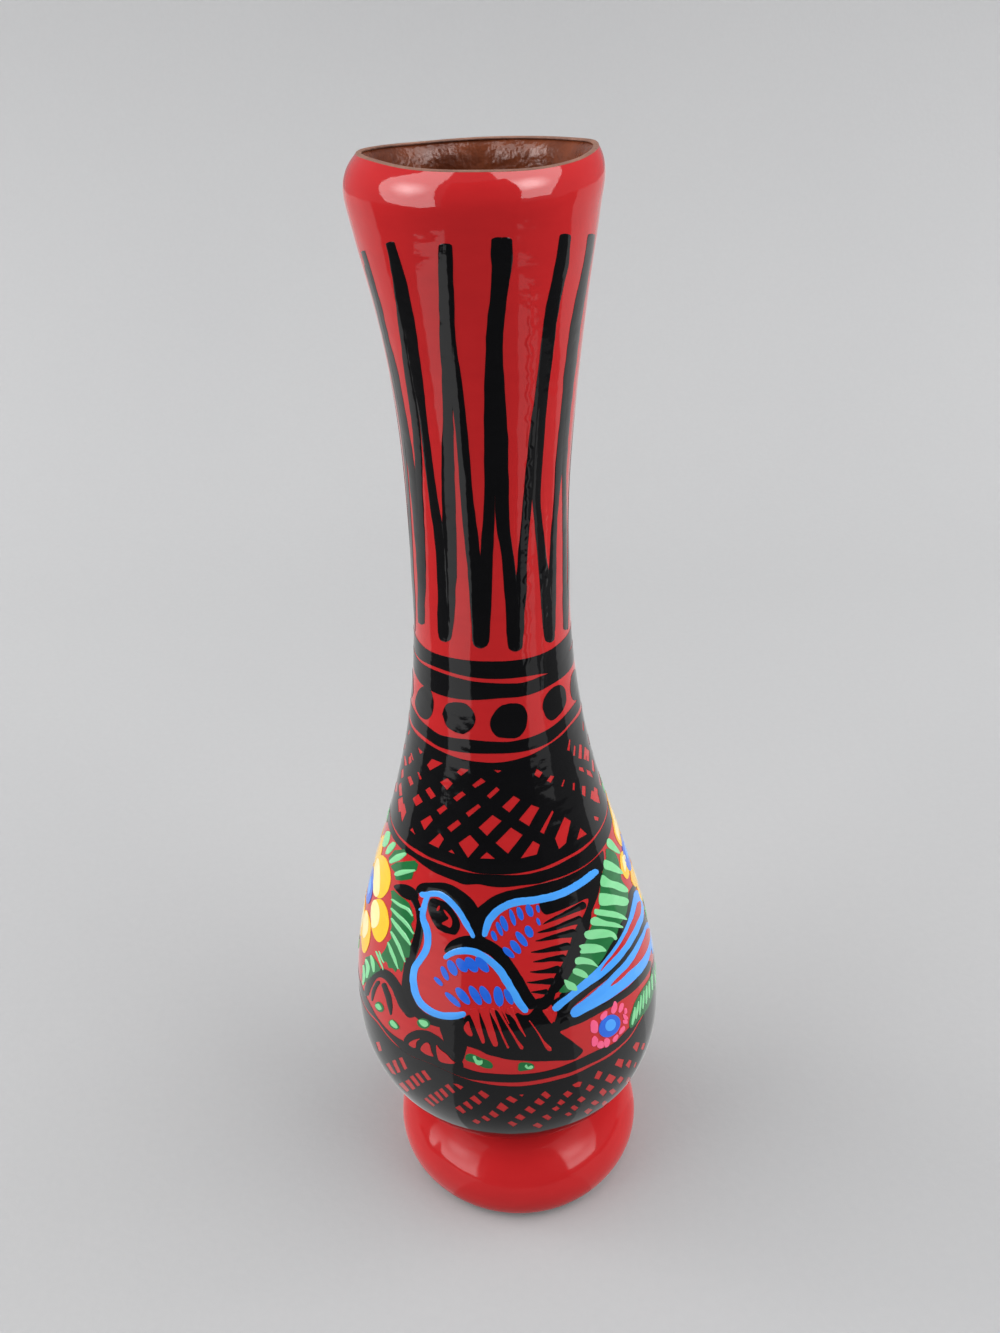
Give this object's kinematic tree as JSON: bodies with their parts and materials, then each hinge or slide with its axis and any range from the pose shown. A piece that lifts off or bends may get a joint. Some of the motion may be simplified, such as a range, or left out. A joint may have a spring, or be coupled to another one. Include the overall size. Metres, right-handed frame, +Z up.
{
  "type": "clay bud vase",
  "caption": "Slender hand-painted clay bud vase with a round belly on a domed foot ring, a narrow neck and a flared rounded lip, to hold cut stems.",
  "frame": {"origin": "centre of the standing ring, on the surface that the vase stands on", "axes": "+Z up along the vase's axis, towards the mouth; -Y is the painted front with the bird"},
  "size_m": [0.0758, 0.0758, 0.25],
  "materials": {
    "red_enamel": "glossy red enamel with black and coloured brushwork under clear varnish",
    "black_enamel": "glossy black brushwork",
    "coloured_enamel": "glossy blue, green, yellow and pink brushwork",
    "bare_clay": "brown clay, varnished inside the mouth",
    "slip_clay": "dry luting slip"
  },
  "bodies": {
    "root": {"foot_ring": "red_enamel", "belly_bowl": "red_enamel", "shoulder_wall": "red_enamel", "neck_wall": "red_enamel", "rim_lip": "red_enamel", "foot_slip": "slip_clay", "belly_slip": "slip_clay", "neck_slip": "slip_clay", "lip_slip": "slip_clay"}
  },
  "joints": []
}
